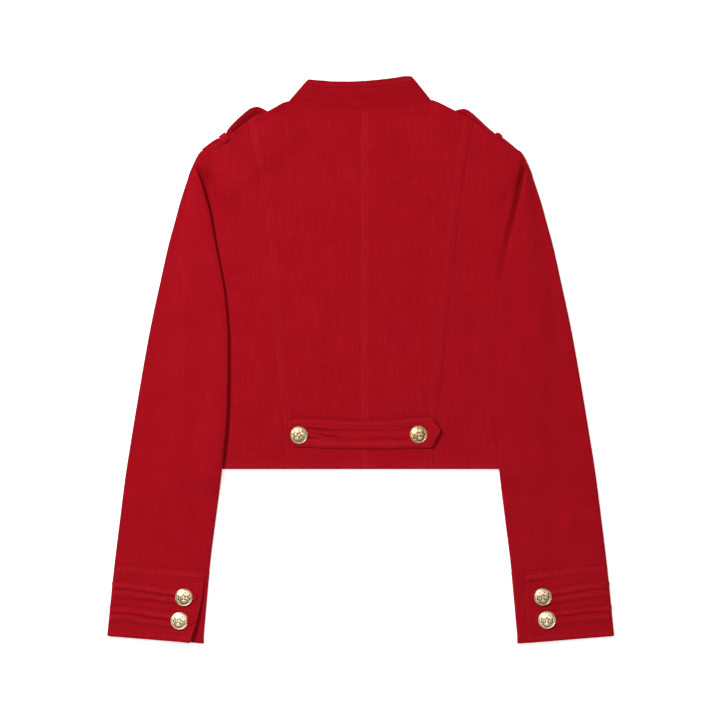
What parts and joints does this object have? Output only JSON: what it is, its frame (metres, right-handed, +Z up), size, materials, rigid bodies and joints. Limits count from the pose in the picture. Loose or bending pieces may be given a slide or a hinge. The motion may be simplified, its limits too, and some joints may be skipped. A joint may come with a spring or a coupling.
{
  "type": "cropped military style jacket laid flat",
  "caption": "Cropped red cotton drill jacket with stand collar, princess seams, buttoned half belt, epaulettes and tabbed cuffs, laid flat face down.",
  "frame": {"origin": "centre of the overall box, on the surface that the jacket lies on", "axes": "+Y from the cuffs to the collar, +Z up through the garment from its front to its back, +X to the wearer's right"},
  "size_m": [0.6086, 0.68, 0.0142],
  "materials": {
    "drill_body": "matte red cotton drill with a fine slubbed twill weave and tone-on-tone stitching",
    "drill_sleeve": "matte red cotton drill with a fine slubbed twill weave, softly creased",
    "drill_trim": "matte red cotton drill in two plies with double topstitching",
    "button_metal": "pale gold plated domed metal with darkened relief"
  },
  "bodies": {
    "root": {"back_centre_left": "drill_body", "back_centre_right": "drill_body", "back_side_left": "drill_body", "back_side_right": "drill_body", "front_left": "drill_body", "front_right": "drill_body", "collar": "drill_trim", "sleeve_left": "drill_sleeve", "sleeve_right": "drill_sleeve", "cuff_left": "drill_sleeve", "cuff_right": "drill_sleeve", "cuff_tab_upper_left": "drill_trim", "cuff_tab_lower_left": "drill_trim", "cuff_tab_upper_right": "drill_trim", "cuff_tab_lower_right": "drill_trim", "epaulette_left": "drill_trim", "epaulette_right": "drill_trim", "keeper_left": "drill_trim", "keeper_right": "drill_trim", "half_belt": "drill_trim", "button_belt_left": "button_metal", "button_belt_right": "button_metal", "button_cuff_upper_left": "button_metal", "button_cuff_lower_left": "button_metal", "button_cuff_upper_right": "button_metal", "button_cuff_lower_right": "button_metal"}
  },
  "joints": []
}
